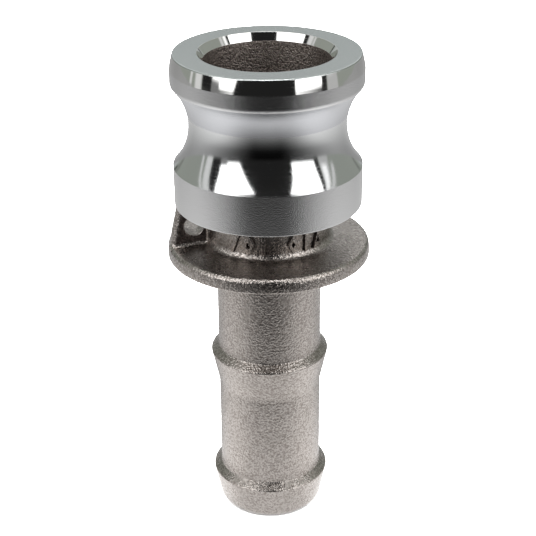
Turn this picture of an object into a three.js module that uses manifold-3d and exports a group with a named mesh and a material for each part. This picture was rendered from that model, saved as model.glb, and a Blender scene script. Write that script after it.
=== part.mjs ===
// Male cam-and-groove hose adapter for a 3/4 inch line, in stainless steel.
// The upper end is the turned head that a cam-arm coupler grips; the lower end is a barbed
// shank that a hose is pushed over. Between them are a cast neck, a tether lug and the collar
// that the hose and its clamp butt against. One bore runs through from end to end.
//
// Units are millimetres and +Z is up. The origin is on the bore's axis at the hose end, so the
// adapter stands on its shank. The tether lug points along -X.

import * as THREE from "three";
import { mergeVertices } from "three/addons/utils/BufferGeometryUtils.js";
import Module from "manifold-3d";

// ---------------------------------------------------------------- driving dimensions

// The hose shank, from its rounded nose at z = 0 up to the collar.
const shank = {
  length: 50.25, // nose to the collar's underside
  radius: 9.13, // plain tube between the barbs
  boreRadius: 7.1,
  boreChamfer: 0.35, // breaks the bore's edge at the nose
  noseRadius: 9.15, // where the last taper would meet the end face
  noseRound: 1.2,
};

// Each barb rises on a short steep face, then falls on a long taper towards the nose.
const barb = {
  crestRadius: 10.5,
  crestRound: 0.35,
  steepLength: 1.1,
  taperLength: 6.2,
  taperBlend: 6, // radius of the blend from the taper into the tube
  lowerCrestZ: 6.6,
  upperCrestZ: 31.3,
};

// The collar that stops the hose. Its top rises slightly from the rim to the neck.
const collar = {
  radius: 17.55,
  rimThickness: 2.45,
  crown: 0.6,
  rimRound: 0.5,
  neckFillet: 1.2,
  shankFillet: 0.8,
};

// The cast neck between collar and head.
const neck = {
  radius: 10.6,
  height: 6.55, // from the collar's crown to the head's underside
  throatDrop: 3.0, // how far below the head the bore's taper ends
};

// Raised foundry marks around the front of the neck: plain shapes, no lettering.
const marks = {
  height: 2.9,
  width: 1.9,
  stroke: 0.62, // line width of the open shapes
  proud: 0.4, // height above the neck's surface
  rootDepth: 0.6, // how deep each mark is rooted in the neck
  footGap: 0.15, // left between a mark and the collar's fillet
  firstBearing: 230, // degrees about +Z from +X
  pitch: 13.2, // degrees between neighbouring places
};

// The turned head: a chamfered rim, the cam groove, and the guide ring below it.
const head = {
  height: 26.15,
  faceRadius: 15.58, // outer edge of the flat sealing face
  rimRadius: 16.15,
  leadIn: 2.45, // height of the tapered band below the sealing face
  rimRound: 1.0,
  grooveRadius: 13.3, // radius of the waist at its narrowest
  grooveDepth: 12.2, // sealing face to the waist
  grooveArc: 10.4, // radius of the groove's own curve
  ringRadius: 16.05,
  edgeRound: 0.25,
  boreRadius: 10.6,
  boreDepth: 19.0, // straight part of the head's bore
  mouthRadius: 11.55, // the bore's mouth in the sealing face
  mouthChamfer: 1.35,
};

// The lug's plate stands between collar and head, with a hole for a tether or seal wire.
const lug = {
  thickness: 3.0,
  footInset: 0.25, // from the collar's rim in to the plate's foot
  topReach: 5.2, // from the neck's surface out to the edge of the plate's top
  holeRadius: 1.65,
  holeFromNeck: 2.55, // from the neck's surface out to the hole's axis
  holeAboveRim: 3.65,
  gap: 0.3, // left to the neck and the collar
};

const facets = 48; // around every turned surface
const grooveSteps = 12;
const markSteps = 12; // along each half of a round mark
const roundStep = THREE.MathUtils.degToRad(24); // the longest step along a rounded corner

// ---------------------------------------------------------------- levels up the axis

const collarZ = shank.length; // underside of the collar
const rimTopZ = collarZ + collar.rimThickness;
const crownZ = rimTopZ + collar.crown;
const neckZ = crownZ + collar.neckFillet; // where the straight neck starts
const headZ = crownZ + neck.height; // underside of the head
const shankTopZ = collarZ - collar.shankFillet;

// The bore's taper between the head's bore and the shank's.
const throatLowZ = headZ - neck.throatDrop;
const throatHighZ = headZ + head.height - head.boreDepth;
const throatShare = (headZ - throatLowZ) / (throatHighZ - throatLowZ);
const throatRadius = THREE.MathUtils.lerp(shank.boreRadius, head.boreRadius, throatShare);

// ---------------------------------------------------------------- materials

const turnedSteel = new THREE.MeshStandardMaterial({
  color: 0xb9bbbc,
  roughness: 0.22,
  metalness: 1,
});
const castSteel = new THREE.MeshStandardMaterial({
  color: 0x9a9590,
  roughness: 0.5,
  metalness: 1,
});

// ---------------------------------------------------------------- helpers

// One corner of an outline: its radius and height, and the radius of the arc that rounds it.
const corner = (r, z, round = 0) => ({ r, z, round });

// The points of a closed outline, with each rounded corner replaced by its arc.
function roundedOutline(corners) {
  const points = [];
  corners.forEach(({ r, z, round }, i) => {
    const at = new THREE.Vector2(r, z);
    if (round === 0) {
      points.push(at);
      return;
    }
    const before = corners[(i + corners.length - 1) % corners.length];
    const after = corners[(i + 1) % corners.length];
    const back = new THREE.Vector2(before.r, before.z).sub(at).normalize();
    const on = new THREE.Vector2(after.r, after.z).sub(at).normalize();
    const half = Math.acos(back.dot(on)) / 2;
    const middle = back.clone().add(on).normalize();
    const centre = at.clone().addScaledVector(middle, round / Math.sin(half));
    const start = at.clone().addScaledVector(back, round / Math.tan(half));
    const turn = -Math.sign(back.cross(on)) * (Math.PI - 2 * half);
    const steps = Math.max(2, Math.ceil(Math.abs(turn) / roundStep));
    for (let k = 0; k <= steps; k += 1)
      points.push(start.clone().rotateAround(centre, (turn * k) / steps));
  });
  return points;
}

// Turns a closed, counter-clockwise outline of (radius, height) points about +Z.
function turned(points) {
  return new THREE.LatheGeometry([...points, points[0]], facets).rotateX(Math.PI / 2);
}

const wasm = await Module();
wasm.setup();

// A closed geometry as a manifold-3d solid.
function solidOf(geometry) {
  const bare = geometry.clone();
  bare.deleteAttribute("normal");
  bare.deleteAttribute("uv");
  const merged = mergeVertices(bare, 1e-4);
  return new wasm.Manifold(
    new wasm.Mesh({
      numProp: 3,
      vertProperties: new Float32Array(merged.attributes.position.array),
      triVerts: new Uint32Array(merged.index.array),
    }),
  );
}

// A manifold-3d solid as a flat-shaded geometry.
function geometryOf(solid) {
  const mesh = solid.getMesh();
  const geometry = new THREE.BufferGeometry()
    .setAttribute("position", new THREE.BufferAttribute(mesh.vertProperties, 3))
    .setIndex(new THREE.BufferAttribute(mesh.triVerts, 1))
    .toNonIndexed();
  geometry.computeVertexNormals();
  return geometry;
}

// A named mesh whose own zero stands at height z on the axis.
function piece(name, geometry, material, z) {
  const mesh = new THREE.Mesh(geometry, material);
  mesh.name = name;
  mesh.position.z = z;
  return mesh;
}

// ---------------------------------------------------------------- hose shank

function makeHoseShank() {
  const outline = roundedOutline([
    corner(shank.boreRadius, shank.boreChamfer),
    corner(shank.boreRadius + shank.boreChamfer, 0),
    corner(shank.noseRadius, 0, shank.noseRound),
    corner(barb.crestRadius, barb.lowerCrestZ, barb.crestRound),
    corner(shank.radius, barb.lowerCrestZ + barb.steepLength),
    corner(shank.radius, barb.upperCrestZ - barb.taperLength, barb.taperBlend),
    corner(barb.crestRadius, barb.upperCrestZ, barb.crestRound),
    corner(shank.radius, barb.upperCrestZ + barb.steepLength),
    corner(shank.radius, shankTopZ),
    corner(shank.boreRadius, shankTopZ),
  ]);
  return piece("hose_shank", turned(outline), castSteel, 0);
}

// ---------------------------------------------------------------- collar

// The collar's outline above its own underside, with the fillets to the shank and the neck.
function collarOutline() {
  const crown = collar.rimThickness + collar.crown;
  return roundedOutline([
    corner(shank.boreRadius, -collar.shankFillet),
    corner(shank.radius, -collar.shankFillet),
    corner(shank.radius, 0, collar.shankFillet),
    corner(collar.radius, 0, collar.rimRound),
    corner(collar.radius, collar.rimThickness, collar.rimRound),
    corner(neck.radius, crown, collar.neckFillet),
    corner(neck.radius, crown + collar.neckFillet),
    corner(shank.boreRadius, crown + collar.neckFillet),
  ]);
}

function makeCollar() {
  return piece("hose_stop_collar", turned(collarOutline()), castSteel, collarZ);
}

// ---------------------------------------------------------------- neck and its marks

// A straight-sided outline, centred on its own zero.
const polygon = (...points) => new THREE.Shape(points.map(([x, y]) => new THREE.Vector2(x, y)));

// The foundry marks in their order around the neck. An empty place is null.
function markShapes() {
  const x = marks.width / 2;
  const y = marks.height / 2;
  const half = marks.stroke / 2;
  const slash = polygon([-x, -y], [marks.stroke - x, -y], [x, y], [x - marks.stroke, y]);
  const bar = polygon([-half, -y], [half, -y], [half, y], [-half, y]);
  const diamond = polygon([0, -y], [x, 0], [0, y], [-x, 0]);
  const wedge = polygon([-x, -y], [x, -y], [0, y]);
  const ring = new THREE.Shape().absarc(0, 0, x, 0, 2 * Math.PI);
  ring.holes.push(new THREE.Path().absarc(0, 0, x - marks.stroke, 0, 2 * Math.PI));
  return [slash, ring, bar, null, diamond, bar, wedge];
}

// One mark as a solid, rooted in the neck at its bearing.
function markSolid(shape, bearing) {
  const depth = marks.rootDepth + marks.proud;
  const geometry = new THREE.ExtrudeGeometry(shape, {
    depth,
    bevelEnabled: false,
    curveSegments: markSteps,
  });
  geometry.rotateX(Math.PI / 2).rotateZ(Math.PI / 2);
  geometry.translate(neck.radius - marks.rootDepth, 0, marks.footGap + marks.height / 2);
  return solidOf(geometry.rotateZ(THREE.MathUtils.degToRad(bearing)));
}

function makeNeck() {
  const height = headZ - neckZ;
  const outline = roundedOutline([
    corner(shank.boreRadius, 0),
    corner(neck.radius, 0),
    corner(neck.radius, height),
    corner(throatRadius, height),
    corner(shank.boreRadius, throatLowZ - neckZ),
  ]);
  let solid = solidOf(turned(outline));
  markShapes().forEach((shape, place) => {
    if (shape) solid = solid.add(markSolid(shape, marks.firstBearing + place * marks.pitch));
  });
  return piece("cast_neck", geometryOf(solid), castSteel, neckZ);
}

// ---------------------------------------------------------------- tether lug

// A round cutter about its own Y axis.
const rod = (radius, length) => new THREE.CylinderGeometry(radius, radius, length, facets);

function makeTetherLug() {
  const outline = polygon(
    [0, rimTopZ],
    [collar.radius - lug.footInset, rimTopZ],
    [neck.radius + lug.topReach, headZ],
    [0, headZ],
  );
  const plate = new THREE.ExtrudeGeometry(outline, { depth: lug.thickness, bevelEnabled: false });
  plate.translate(0, 0, -lug.thickness / 2).rotateX(Math.PI / 2).rotateZ(Math.PI);
  const hole = rod(lug.holeRadius, 2 * lug.thickness);
  hole.translate(-neck.radius - lug.holeFromNeck, 0, rimTopZ + lug.holeAboveRim);
  const neckRoom = rod(neck.radius + lug.gap, 3 * headZ).rotateX(Math.PI / 2);
  const collarRoom = turned(collarOutline()).translate(0, 0, collarZ + lug.gap);
  const cuts = [hole, neckRoom, collarRoom];
  const solid = cuts.reduce((left, cut) => left.subtract(solidOf(cut)), solidOf(plate));
  return piece("tether_lug", geometryOf(solid), castSteel, 0);
}

// ---------------------------------------------------------------- turned head

// How far above or below its waist the cam groove reaches the given radius.
function grooveSpread(radius) {
  const fromCentre = head.grooveRadius + head.grooveArc - radius;
  return Math.sqrt(head.grooveArc ** 2 - fromCentre ** 2);
}

// The cam groove's curve above the head's underside, from the guide ring up to the rim.
function grooveCorners() {
  const waistZ = head.height - head.grooveDepth;
  const centreR = head.grooveRadius + head.grooveArc;
  const low = -Math.asin(grooveSpread(head.ringRadius) / head.grooveArc);
  const high = Math.asin(grooveSpread(head.rimRadius) / head.grooveArc);
  const corners = [];
  for (let k = 0; k <= grooveSteps; k += 1) {
    const angle = THREE.MathUtils.lerp(low, high, k / grooveSteps);
    const r = centreR - head.grooveArc * Math.cos(angle);
    corners.push(corner(r, waistZ + head.grooveArc * Math.sin(angle)));
  }
  corners[grooveSteps].round = head.rimRound;
  return corners;
}

function makeHead() {
  const top = head.height;
  const outline = roundedOutline([
    corner(throatRadius, 0),
    corner(head.ringRadius, 0, head.edgeRound),
    ...grooveCorners(),
    corner(head.rimRadius, top - head.leadIn),
    corner(head.faceRadius, top, head.edgeRound),
    corner(head.mouthRadius, top),
    corner(head.boreRadius, top - head.mouthChamfer),
    corner(head.boreRadius, top - head.boreDepth),
  ]);
  return piece("cam_groove_head", turned(outline), turnedSteel, headZ);
}

// ---------------------------------------------------------------- the adapter

const adapter = new THREE.Group();
adapter.name = "camlock_hose_adapter";
adapter.add(makeHead(), makeNeck(), makeTetherLug(), makeCollar(), makeHoseShank());

export default adapter;
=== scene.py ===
"""A 3/4 inch male cam-and-groove hose adapter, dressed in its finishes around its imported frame.

The adapter is one stainless casting. Its head is turned bright, and the rest is left as cast and
bead blasted. Every piece here stands for one CAD node of that casting and keeps its sizes.
Lengths are millimetres until a mesh is made, and the meshes are in metres.
"""

import logging
import math
from dataclasses import dataclass, field
from enum import Enum

import bmesh
import bpy
from bpy.types import Material, Node, NodeSocket, NodeTree, Object
from mathutils import Matrix, Vector


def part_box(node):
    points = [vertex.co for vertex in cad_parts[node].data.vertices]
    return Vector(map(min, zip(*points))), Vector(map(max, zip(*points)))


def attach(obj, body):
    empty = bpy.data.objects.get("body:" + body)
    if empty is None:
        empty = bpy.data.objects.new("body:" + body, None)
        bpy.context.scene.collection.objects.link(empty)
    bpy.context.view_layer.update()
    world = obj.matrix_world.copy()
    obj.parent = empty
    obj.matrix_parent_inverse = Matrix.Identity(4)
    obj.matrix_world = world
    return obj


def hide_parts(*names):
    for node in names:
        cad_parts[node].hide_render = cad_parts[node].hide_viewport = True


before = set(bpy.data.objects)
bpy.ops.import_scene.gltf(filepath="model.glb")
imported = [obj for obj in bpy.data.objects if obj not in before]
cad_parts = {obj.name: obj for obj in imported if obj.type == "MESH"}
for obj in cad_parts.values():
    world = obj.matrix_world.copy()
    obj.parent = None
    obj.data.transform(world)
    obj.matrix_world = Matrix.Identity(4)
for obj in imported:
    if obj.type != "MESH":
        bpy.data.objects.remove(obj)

log = logging.getLogger("adapter")

MM = 0.001  # one millimetre in metres
MERGE = 0.5e-6  # points closer than this, in metres, become one
ALONG_PROFILE = 0.25  # a quarter turn from the radial tangent, which runs around the axis
NOISE_SPAN = {"From Min": 0.3, "From Max": 0.7}  # where nearly all of a noise's values lie
BEARING_OF_MINUS_Y = 270.0
LEVEL = (1.0, 1.0, 0.0)  # takes the height out of a vector

# Sizes where pieces of the casting meet, in millimetres.
BORE_RADIUS = 7.1
THROAT_RADIUS = 8.15
NECK_RADIUS = 10.6
SHANK_RADIUS = 9.13
SHANK_FILLET = 0.8
COLLAR_RADIUS = 17.55
COLLAR_THICKNESS = 2.45
COLLAR_TOP_ROUND = 0.85


# ---------------------------------------------------------------------------- small helpers


def linear(hex_colour: str) -> tuple[float, float, float, float]:
    """Turns an sRGB hex colour into linear light.

    Args:
        hex_colour: Six hex digits, such as "c8c9c7".

    Returns:
        Red, green, blue and an alpha of 1.
    """
    shares = [int(hex_colour[i : i + 2], 16) / 255 for i in (0, 2, 4)]
    light = [s / 12.92 if s <= 0.04045 else ((s + 0.055) / 1.055) ** 2.4 for s in shares]
    return (light[0], light[1], light[2], 1.0)


def add_node(tree: NodeTree, kind: str, inputs: dict | None = None, **settings: object) -> Node:
    """Adds a node to a tree with its settings, values and links.

    Args:
        tree: The tree that the node joins.
        kind: The node's type, such as "ShaderNodeMath".
        inputs: What goes into each input: an output socket is linked, anything else is a value.
        **settings: The node's own properties.

    Returns:
        The new node.
    """
    node = tree.nodes.new(kind)
    for name, value in settings.items():
        setattr(node, name, value)
    for key, value in (inputs or {}).items():
        if isinstance(value, NodeSocket):
            tree.links.new(value, node.inputs[key])
        else:
            node.inputs[key].default_value = value
    return node


# ---------------------------------------------------------------------------- finishes


class Finish(Enum):
    """The surfaces that the adapter's makers leave on it, and a near-black cast steel that also serves
    as painted shade.
    """

    SATIN = "satin_turned_steel"
    FACE = "faced_steel"
    BRIGHT = "bright_turned_steel"
    GROOVE = "groove_turned_steel"
    FLANK = "flank_turned_steel"
    CAST = "bead_blasted_cast_steel"
    CORE = "cored_cast_steel"
    # Near-black cast steel: painted shade on the marks' walls, and the darker flats of the lug.
    SKIN = "unblasted_cast_skin"


Relief = list[tuple[NodeSocket, float]]  # heights, each with its depth in millimetres


@dataclass(frozen=True)
class Steel:
    """Bare stainless steel. Each way of working it adds its own pattern."""

    name: str
    colour: str
    roughness: float
    unevenness: float  # how far the roughness strays over the pattern

    def pattern(self, tree: NodeTree, shader: Node) -> tuple[NodeSocket, Relief]:
        """Builds the surface's own pattern and colours the shader.

        Args:
            tree: The material's tree.
            shader: The material's shader.

        Returns:
            What the roughness follows, and the relief from the lowest layer up.
        """
        raise NotImplementedError

    def make(self) -> Material:
        """Builds the material and returns it."""
        material = bpy.data.materials.new(self.name)
        material.use_nodes = True
        tree = material.node_tree
        shader = tree.nodes["Principled BSDF"]
        shader.inputs["Metallic"].default_value = 1.0
        leading, layers = self.pattern(tree, shader)
        span_of_roughness = {
            "To Min": self.roughness - self.unevenness,
            "To Max": self.roughness + self.unevenness,
        }
        roughness = add_node(
            tree, "ShaderNodeMapRange", {"Value": leading, **NOISE_SPAN, **span_of_roughness}
        ).outputs["Result"]
        under = {}
        for height, depth in layers:
            relief = {"Height": height, "Strength": 1.0, "Distance": depth * MM, **under}
            under = {"Normal": add_node(tree, "ShaderNodeBump", relief).outputs["Normal"]}
        tree.links.new(roughness, shader.inputs["Roughness"])
        tree.links.new(under["Normal"], shader.inputs["Normal"])
        return material


@dataclass(frozen=True)
class TurnedSteel(Steel):
    """Stainless steel fresh from the lathe.

    The tool leaves fine rings around the axis. They smear each reflection along the profile and
    keep it sharp around the axis, which is what tells the eye that a surface was turned.
    """

    anisotropy: float
    ring_spacing: float  # millimetres between tool rings
    ring_depth: float  # millimetres
    speckle: float = 0.0  # depth in millimetres of the fine tooth left by the blast media
    speckle_size: float = 0.22  # millimetres

    def pattern(self, tree: NodeTree, shader: Node) -> tuple[NodeSocket, Relief]:
        """Builds the tool rings and the tooth. See Steel."""
        shader.inputs["Base Color"].default_value = linear(self.colour)
        shader.inputs["Anisotropic"].default_value = self.anisotropy
        shader.inputs["Anisotropic Rotation"].default_value = ALONG_PROFILE
        tangent = add_node(tree, "ShaderNodeTangent", direction_type="RADIAL", axis="Z")
        tree.links.new(tangent.outputs["Tangent"], shader.inputs["Tangent"])
        along = add_node(tree, "ShaderNodeAttribute", attribute_name="along").outputs["Fac"]
        rings = add_node(
            tree,
            "ShaderNodeTexNoise",
            {"W": along, "Scale": 1 / self.ring_spacing, "Detail": 2.0, "Roughness": 0.6},
            noise_dimensions="1D",
        ).outputs["Fac"]
        place = add_node(tree, "ShaderNodeTexCoord").outputs["Object"]
        tooth = add_node(
            tree,
            "ShaderNodeTexNoise",
            {"Vector": place, "Scale": 1 / (self.speckle_size * MM), "Detail": 1.0},
        ).outputs["Fac"]
        return rings, [(rings, self.ring_depth), (tooth, self.speckle)]


@dataclass(frozen=True)
class CastSteel(Steel):
    """Stainless steel as it leaves an investment mould, after bead blasting.

    The mould's stucco leaves a grain of small soft bumps, and the beads leave a matt tooth on it.
    Hollows keep a little brown scale, which the blast does not reach.
    """

    scale_colour: str
    grain_size: float  # millimetres between bumps
    grain_depth: float  # millimetres
    tooth_depth: float  # millimetres
    teeth_per_grain: float = 2.2
    patch_size: float = 4.0  # millimetres between brighter and duller patches
    hollow: float = 0.35  # grain as low as this holds the most scale
    clean: float = 0.6  # grain as high as this holds none
    most_scale: float = 0.7

    def pattern(self, tree: NodeTree, shader: Node) -> tuple[NodeSocket, Relief]:
        """Builds the grain, its tooth and its scale. See Steel."""
        place = add_node(tree, "ShaderNodeTexCoord").outputs["Object"]
        grain, tooth, patches = (
            add_node(
                tree, "ShaderNodeTexNoise", {"Vector": place, "Scale": scale, "Detail": detail}
            ).outputs["Fac"]
            for scale, detail in (
                (1 / (self.grain_size * MM), 1.5),
                (self.teeth_per_grain / (self.grain_size * MM), 2.0),
                (1 / (self.patch_size * MM), 3.0),
            )
        )
        depths = {"From Min": self.hollow, "From Max": self.clean}
        scale = add_node(
            tree,
            "ShaderNodeMapRange",
            {"Value": grain, **depths, "To Min": self.most_scale, "To Max": 0.0},
            clamp=True,
        ).outputs["Result"]
        colour = add_node(
            tree,
            "ShaderNodeMix",
            {0: scale, 6: linear(self.colour), 7: linear(self.scale_colour)},
            data_type="RGBA",
        ).outputs[2]
        tree.links.new(colour, shader.inputs["Base Color"])
        return patches, [(grain, self.grain_depth), (tooth, self.tooth_depth)]


FINISHES = {
    # Fine tool marks: grey and satin, with each reflection drawn out along the profile.
    Finish.SATIN: TurnedSteel(
        name="satin_turned_steel",
        colour="cbcbcb",
        roughness=0.24,
        anisotropy=0.7,
        ring_spacing=0.3,
        ring_depth=0.0001,
        unevenness=0.01,
        speckle=0.03,
    ),
    # The sealing face is faced off with a fine feed, a little cooler and more even.
    Finish.FACE: TurnedSteel(
        name="faced_steel",
        colour="c2c6c5",
        roughness=0.26,
        anisotropy=0.3,
        ring_spacing=0.25,
        ring_depth=0.0002,
        unevenness=0.01,
        speckle=0.02,
    ),
    # The tapers are cut with a polished form tool and mirror the studio.
    Finish.BRIGHT: TurnedSteel(
        name="bright_turned_steel",
        colour="d6d6d4",
        roughness=0.07,
        anisotropy=0.3,
        ring_spacing=0.3,
        ring_depth=0.0006,
        unevenness=0.02,
    ),
    # The cam groove is form turned too, but chatter leaves it softer along the profile.
    Finish.GROOVE: TurnedSteel(
        name="groove_turned_steel",
        colour="cfd0d0",
        roughness=0.11,
        anisotropy=0.6,
        ring_spacing=0.35,
        ring_depth=0.001,
        unevenness=0.03,
        speckle=0.003,
    ),
    # The tool leaves the groove's upper flank duller, so that it blurs what lies below it.
    Finish.FLANK: TurnedSteel(
        name="flank_turned_steel",
        colour="c4c5c8",
        roughness=0.3,
        anisotropy=0.3,
        ring_spacing=0.35,
        ring_depth=0.0004,
        unevenness=0.02,
        speckle=0.006,
    ),
    # Shell-mould stucco of about 0.3 mm shows as the grain of the casting.
    Finish.CAST: CastSteel(
        name="bead_blasted_cast_steel",
        colour="aea8a3",
        scale_colour="756c66",
        roughness=0.25,
        unevenness=0.05,
        grain_size=0.34,
        grain_depth=0.12,
        tooth_depth=0.03,
    ),
    # A ceramic core leaves the bore coarser and darker than the outside.
    Finish.CORE: CastSteel(
        name="cored_cast_steel",
        colour="a29892",
        scale_colour="5f5652",
        roughness=0.42,
        unevenness=0.05,
        grain_size=0.32,
        grain_depth=0.2,
        tooth_depth=0.06,
    ),
    # Near-black cast steel, so that the edges around it stand out: it paints shade on the marks' walls
    # and darkens the lug's flats.
    Finish.SKIN: CastSteel(
        name="unblasted_cast_skin",
        colour="6a625e",
        scale_colour="3c3734",
        roughness=0.4,
        unevenness=0.05,
        grain_size=0.34,
        grain_depth=0.14,
        tooth_depth=0.04,
    ),
}


# ---------------------------------------------------------------------------- turned outlines


@dataclass(frozen=True)
class Corner:
    """One corner of a turned outline."""

    r: float
    z: float
    round: float = 0.0  # radius of the arc that rounds it
    finish: Finish = Finish.CAST  # of the stretch from here to the next corner


@dataclass
class Outline:
    """A closed outline of (radius, height), counter-clockwise, with rounded corners."""

    corners: list[Corner] = field(default_factory=list)
    longest_step: float = 0.4  # along a straight stretch
    arc_step: float = math.radians(9)
    hold: float = 0.04  # from a straight stretch's ends to the points that hold its shading
    shortest_held: float = 0.3  # a shorter stretch is a step of a curve, and shades smoothly
    fewest_steps: int = 3  # around an arc

    def trace(self) -> tuple[list[tuple[float, float]], list[Finish]]:
        """Follows the outline once around.

        Returns:
            Its points, and the finish of the stretch that starts at each of them.
        """
        corner_points = [self._arc(i) for i in range(len(self.corners))]
        points: list[tuple[float, float]] = []
        finishes: list[Finish] = []
        for i, arc in enumerate(corner_points):
            start = corner_points[(i + 1) % len(corner_points)][0]
            here = arc[-1]
            run = self._run(here, start)
            points += arc + run
            finishes += [self.corners[i].finish] * (len(arc) + len(run))
        return points, finishes

    def _run(
        self, start: tuple[float, float], end: tuple[float, float]
    ) -> list[tuple[float, float]]:
        """Returns the points inside a straight stretch, with one held close to each of its ends.

        The held points keep the stretch's shading straight right up to the corners.
        """
        length = math.dist(start, end)
        if length < self.shortest_held:
            return []
        steps = max(1, math.ceil(length / self.longest_step))
        shares = [self.hold / length, *(k / steps for k in range(1, steps)), 1 - self.hold / length]
        return [tuple(Vector(start).lerp(Vector(end), share)) for share in shares]

    def _arc(self, i: int) -> list[tuple[float, float]]:
        """Returns the points that round corner i, or the corner itself if it is sharp."""
        here = self.corners[i]
        at = Vector((here.r, here.z))
        if here.round == 0:
            return [(at.x, at.y)]
        before, after = self.corners[i - 1], self.corners[(i + 1) % len(self.corners)]
        back = (Vector((before.r, before.z)) - at).normalized()
        on = (Vector((after.r, after.z)) - at).normalized()
        half = back.angle(on) / 2
        centre = at + (back + on).normalized() * (here.round / math.sin(half))
        start = at + back * (here.round / math.tan(half))
        cross = back.x * on.y - back.y * on.x
        turn = -math.copysign(math.pi - 2 * half, cross)
        steps = max(self.fewest_steps, math.ceil(abs(turn) / self.arc_step))
        points = []
        for k in range(steps + 1):
            spoke = (start - centre).copy()
            spoke.rotate(Matrix.Rotation(turn * k / steps, 2))
            points.append(tuple(centre + spoke))
        return points


# ---------------------------------------------------------------------------- turned pieces


def span(node: str) -> tuple[float, float]:
    """Returns how low and how high a CAD node reaches, in millimetres."""
    low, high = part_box(node)
    return low[2] / MM, high[2] / MM


def outline_mesh(name: str, outline: Outline) -> tuple[Object, list[Finish]]:
    """Makes the mesh that a turning tree reads: one vertex for each point of an outline.

    Args:
        name: The new object's name.
        outline: The outline in millimetres.

    Returns:
        The object, whose points carry their length along the outline and their finish's number,
        and the finishes in the order of those numbers.
    """
    points, finishes = outline.trace()
    used = sorted(set(finishes), key=lambda finish: finish.value)
    mesh = bpy.data.meshes.new(name)
    mesh.from_pydata([(r * MM, 0.0, z * MM) for r, z in points], [], [])
    along = [0.0]
    for a, b in zip(points, points[1:]):
        along.append(along[-1] + math.dist(a, b))
    mesh.attributes.new("along", "FLOAT", "POINT").data.foreach_set("value", along)
    numbers = [used.index(finish) for finish in finishes]
    mesh.attributes.new("finish", "INT", "POINT").data.foreach_set("value", numbers)
    source = bpy.data.objects.new(name, mesh)
    bpy.context.scene.collection.objects.link(source)
    return source, used


class MouldTree:
    """A Geometry Nodes tree that ends in the mould's unevenness and in the finishes.

    The unevenness depends on the place alone, so that it runs on from piece to piece.
    """

    detail = 3.0
    fineness = 0.6  # how much each finer wave keeps of the one before

    def __init__(self, name: str, sizes: dict[str, str]) -> None:
        """Starts a tree.

        Args:
            name: The tree's name.
            sizes: The socket type of each named input besides the geometry.
        """
        self.tree = bpy.data.node_groups.new(name, "GeometryNodeTree")
        face = self.tree.interface
        face.new_socket("Geometry", in_out="INPUT", socket_type="NodeSocketGeometry")
        for socket, kind in sizes.items():
            face.new_socket(socket, in_out="INPUT", socket_type=kind)
        for socket in ("Mould Size", "Mould Depth", "Seed"):
            face.new_socket(socket, in_out="INPUT", socket_type="NodeSocketFloat")
        face.new_socket("Geometry", in_out="OUTPUT", socket_type="NodeSocketGeometry")
        self.given = add_node(self.tree, "NodeGroupInput").outputs
        self.position = add_node(self.tree, "GeometryNodeInputPosition").outputs["Position"]

    def finish_by_test(
        self, geometry: NodeSocket, passed: NodeSocket, materials: list[Material]
    ) -> None:
        """Adds the tree's last nodes, where a test of each face chooses its finish.

        Args:
            geometry: The finished shape.
            passed: The test.
            materials: The material of a face that fails, and of one that passes.
        """
        numbered = add_node(
            self.tree,
            "GeometryNodeStoreNamedAttribute",
            {"Geometry": geometry, "Name": "finish", "Value": passed},
            data_type="INT",
            domain="FACE",
        ).outputs["Geometry"]
        self.finish(numbered, materials)

    def finish(self, geometry: NodeSocket, materials: list[Material]) -> None:
        """Adds the tree's last nodes.

        Args:
            geometry: The finished shape.
            materials: The material of each finish number.
        """
        tree = self.tree
        waves = add_node(
            tree,
            "ShaderNodeTexNoise",
            {
                "W": self.given["Seed"],
                "Scale": add_node(
                    tree, "ShaderNodeMath", {0: 1.0, 1: self.given["Mould Size"]}, operation="DIVIDE"
                ).outputs[0],
                "Detail": self.detail,
                "Roughness": self.fineness,
            },
            noise_dimensions="4D",
        ).outputs["Color"]
        centred = add_node(
            tree, "ShaderNodeVectorMath", {0: waves, 1: (0.5, 0.5, 0.5)}, operation="SUBTRACT"
        ).outputs[0]
        offset = add_node(
            tree,
            "ShaderNodeVectorMath",
            {0: centred, "Scale": self.given["Mould Depth"]},
            operation="SCALE",
        ).outputs[0]
        uneven = add_node(
            tree, "GeometryNodeSetPosition", {"Geometry": geometry, "Offset": offset}
        ).outputs["Geometry"]
        shown = add_node(tree, "GeometryNodeRealizeInstances", {"Geometry": uneven}).outputs[0]
        number = add_node(
            tree, "GeometryNodeInputNamedAttribute", {"Name": "finish"}, data_type="INT"
        ).outputs["Attribute"]
        for i, material in enumerate(materials):
            chosen = add_node(
                tree, "FunctionNodeCompare", {2: number, 3: i}, data_type="INT", operation="EQUAL"
            ).outputs["Result"]
            shown = add_node(
                tree,
                "GeometryNodeSetMaterial",
                {"Geometry": shown, "Selection": chosen, "Material": material},
            ).outputs["Geometry"]
        add_node(tree, "NodeGroupOutput", {"Geometry": shown})


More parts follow.
